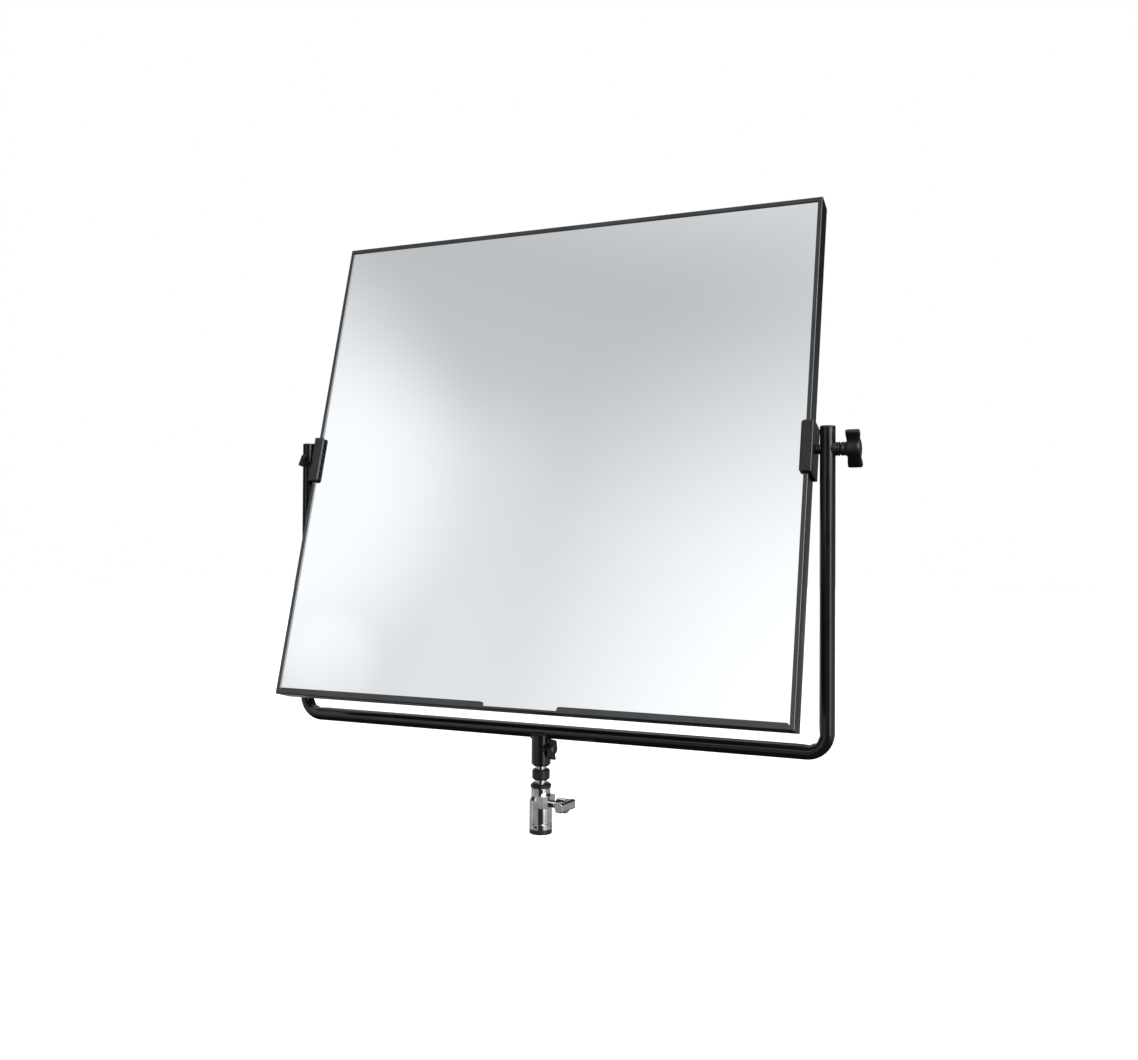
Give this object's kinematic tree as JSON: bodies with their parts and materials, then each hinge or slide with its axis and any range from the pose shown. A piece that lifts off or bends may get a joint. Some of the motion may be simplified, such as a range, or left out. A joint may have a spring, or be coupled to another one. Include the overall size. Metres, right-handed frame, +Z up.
{
  "type": "mirror reflector board on a yoke",
  "caption": "Square framed mirror board that tilts in a bent-tube yoke with a tilt knob, on a chrome adapter for a 16 mm stand spigot.",
  "frame": {"origin": "centre of the stand socket's mouth, on the socket's axis", "axes": "+Z up along the spigot, +X along the tilt axis towards the tilt knob, -Y the side that the mirror faces"},
  "size_m": [0.6853, 0.1796, 0.7107],
  "materials": {
    "chrome": "worn bright chrome plate",
    "black_plastic": "moulded, matt",
    "black_nylon": "turned nylon",
    "brass": "turned",
    "black_steel": "satin black powder coat",
    "steel": "turned, zinc plated",
    "black_oxide": "black oxide",
    "mirror": "silvered float glass",
    "foam": "closed-cell foam",
    "black_board": "plywood painted black",
    "black_aluminium": "satin black anodised",
    "black_clamp": "fine matt black paint",
    "liner": "neoprene sheet"
  },
  "bodies": {
    "adapter": {"adapter_body": "chrome", "adapter_end_ring": "black_plastic", "adapter_top_ring": "black_plastic", "spigot": "chrome", "spigot_collar": "black_plastic"},
    "handle_pad": {"t_handle_pad": "brass"},
    "handle": {"t_handle": "chrome", "t_handle_screw": "chrome"},
    "yoke": {"receiver": "black_steel", "yoke_tube": "black_steel", "upright_insert_left": "steel", "upright_insert_right": "steel", "insert_screws": "black_oxide", "end_cap_left": "black_plastic", "end_cap_right": "black_plastic", "inner_saddle_left": "black_nylon", "inner_saddle_right": "black_nylon", "outer_saddle_right": "black_nylon"},
    "yoke_lock_pad": {"receiver_pad": "brass"},
    "yoke_lock": {"receiver_knob": "black_plastic", "receiver_screw": "steel"},
    "lever_tip": {"lever_pad": "brass"},
    "lever": {"lock_lever": "black_oxide"},
    "board": {"mirror_glass": "mirror", "foam_sheet": "foam", "core_board": "black_board", "frame_top": "black_aluminium", "frame_bottom": "black_aluminium", "frame_left": "black_aluminium", "frame_right": "black_aluminium", "corner_plate_top_left": "black_clamp", "corner_plate_top_right": "black_clamp", "corner_plate_bottom_left": "black_clamp", "corner_plate_bottom_right": "black_clamp", "corner_screws": "black_oxide", "edge_clamp_left": "black_clamp", "edge_clamp_right": "black_clamp", "clamp_liner_left": "liner", "clamp_liner_right": "liner", "clamp_screws_left": "black_oxide", "clamp_screws_right": "black_oxide", "pivot_stud_right": "black_oxide", "pivot_pin_left": "black_oxide"},
    "washer": {"tilt_washer": "black_nylon"},
    "knob": {"tilt_knob": "black_plastic", "tilt_knob_insert": "brass"}
  },
  "joints": [
    {"name": "yoke_pan", "type": "hinge", "parent": "adapter", "child": "yoke", "pos_m": [0, 0, 0.0765], "axis": [0, 0, 1], "continuous": true},
    {"name": "board_tilt", "type": "hinge", "parent": "yoke", "child": "board", "pos_m": [0, 0, 0.4283], "axis": [1, 0, 0], "continuous": true},
    {"name": "handle_advance", "type": "slide", "parent": "adapter", "child": "handle_pad", "axis": [0.9848, -0.1736, 0], "range_m": [-0.0015, 0.00075]},
    {"name": "handle_turn", "type": "hinge", "parent": "handle_pad", "child": "handle", "pos_m": [0, 0, 0.0347], "axis": [0.9848, -0.1736, 0], "range_deg": [-362, 182]},
    {"name": "yoke_lock_advance", "type": "slide", "parent": "yoke", "child": "yoke_lock_pad", "axis": [0.8988, -0.4384, 0], "range_m": [0, 0.0015]},
    {"name": "yoke_lock_turn", "type": "hinge", "parent": "yoke_lock_pad", "child": "yoke_lock", "pos_m": [0, 0, 0.0972], "axis": [0.8988, -0.4384, 0], "range_deg": [-2, 542]},
    {"name": "lever_advance", "type": "slide", "parent": "yoke", "child": "lever_tip", "axis": [0.2079, -0.9781, 0], "range_m": [0, 0.001]},
    {"name": "lever_turn", "type": "hinge", "parent": "lever_tip", "child": "lever", "pos_m": [-0.3216, 0, 0.4283], "axis": [0.2079, -0.9781, 0], "range_deg": [-2, 362]},
    {"name": "washer_advance", "type": "slide", "parent": "board", "child": "washer", "axis": [1, 0, 0], "range_m": [0, 0.0025]},
    {"name": "tilt_knob_turn", "type": "hinge", "parent": "washer", "child": "knob", "pos_m": [0.345, 0, 0.4283], "axis": [1, 0, 0], "range_deg": [-2, 722]}
  ],
  "couplings": [
    {"joint": "handle_turn", "follows": "handle_advance", "rad_per_m": 4188.8},
    {"joint": "yoke_lock_turn", "follows": "yoke_lock_advance", "rad_per_m": 6283.2},
    {"joint": "lever_turn", "follows": "lever_advance", "rad_per_m": 6283.2},
    {"joint": "tilt_knob_turn", "follows": "washer_advance", "rad_per_m": 5026.5}
  ]
}
